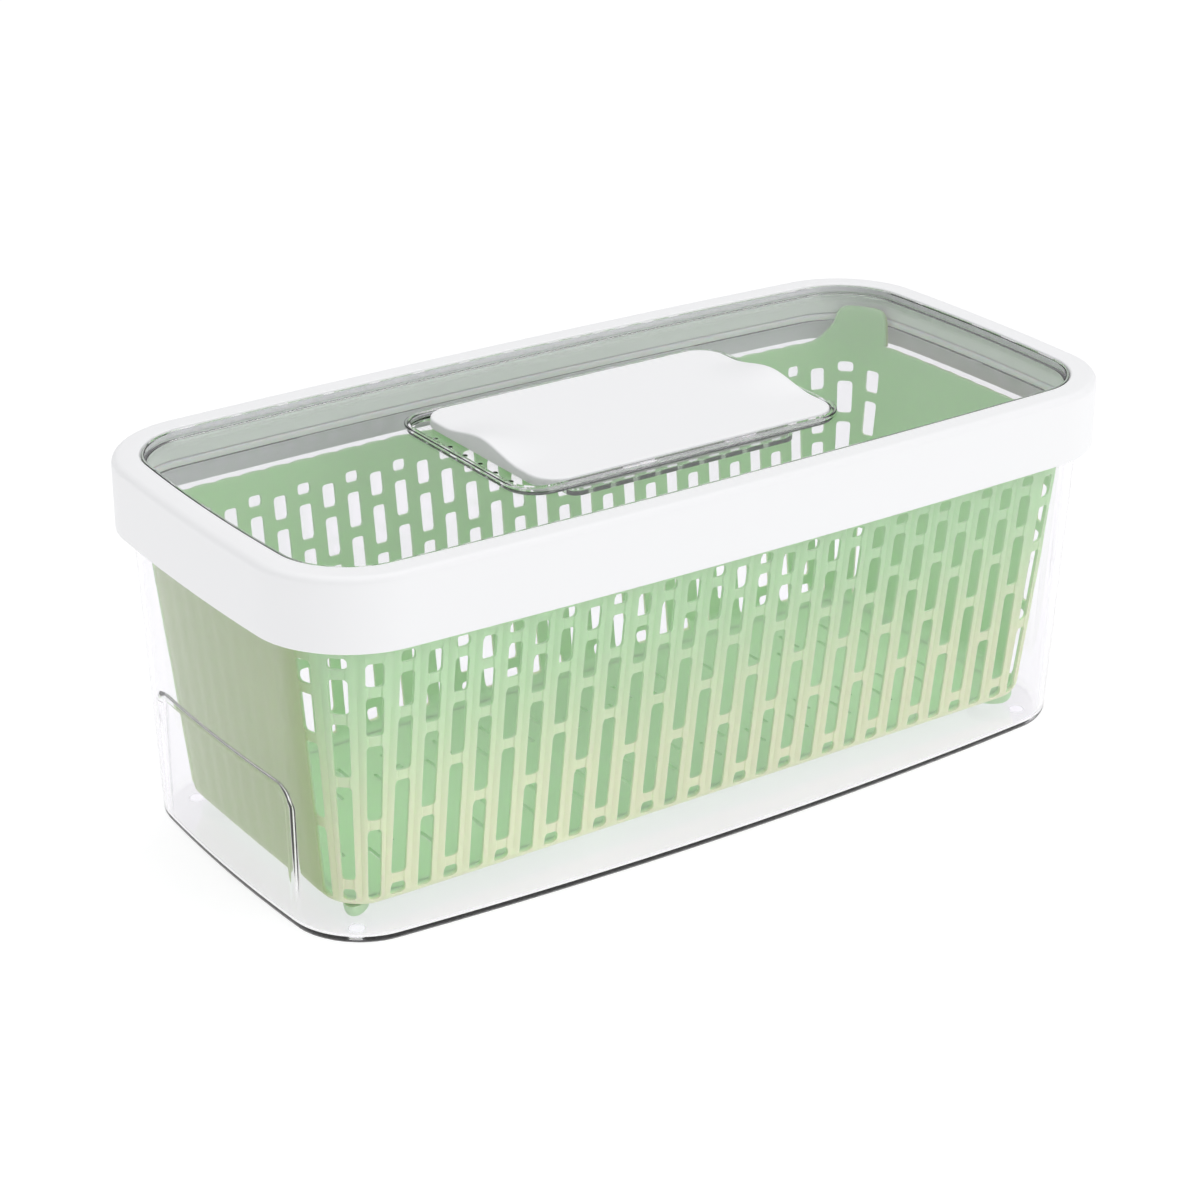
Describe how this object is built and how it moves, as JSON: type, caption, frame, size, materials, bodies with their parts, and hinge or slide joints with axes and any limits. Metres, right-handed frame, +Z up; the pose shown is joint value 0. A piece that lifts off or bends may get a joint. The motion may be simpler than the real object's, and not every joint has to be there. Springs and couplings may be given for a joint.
{
  "type": "vented produce keeper",
  "caption": "Long clear food keeper with a slotted green basket inside and a white-rimmed clear lid that has a sliding vent cover over air holes and a filter below.",
  "frame": {"origin": "centre of the keeper's footprint, on the surface that its feet stand on", "axes": "+X along the keeper's length towards the end away from the air holes, +Y across it, +Z up through the lid"},
  "size_m": [0.3622, 0.1736, 0.1448],
  "materials": {
    "clear": "clear polished copolyester",
    "green": "translucent satin polypropylene",
    "white": "smooth white with a soft gloss",
    "silicone": "milky soft silicone",
    "fleece": "pressed white fleece round a dark core"
  },
  "bodies": {
    "bin": {"bin": "clear"},
    "basket": {"basket": "green"},
    "lid": {"lid_rim": "white", "lid_gasket": "silicone", "lid_window": "clear", "vent_tray": "clear"},
    "vent_cover": {"vent_cover": "white", "shutter_pad": "silicone"},
    "filter": {"filter_holder": "clear", "carbon_filter": "fleece"}
  },
  "joints": [
    {"name": "lid_lift", "type": "slide", "parent": "bin", "child": "lid", "axis": [0, 0, 1], "range_m": [0, 0.3]},
    {"name": "basket_lift", "type": "slide", "parent": "bin", "child": "basket", "axis": [0, 0, 1], "range_m": [0, 0.15]},
    {"name": "vent_slide", "type": "slide", "parent": "lid", "child": "vent_cover", "axis": [1, 0, 0], "range_m": [-0.008, 0]},
    {"name": "filter_drop", "type": "slide", "parent": "lid", "child": "filter", "axis": [0, 0, -1], "range_m": [0, 0.02]}
  ],
  "couplings": [
    {"joint": "basket_lift", "follows": "lid_lift", "ratio": 0.5}
  ]
}
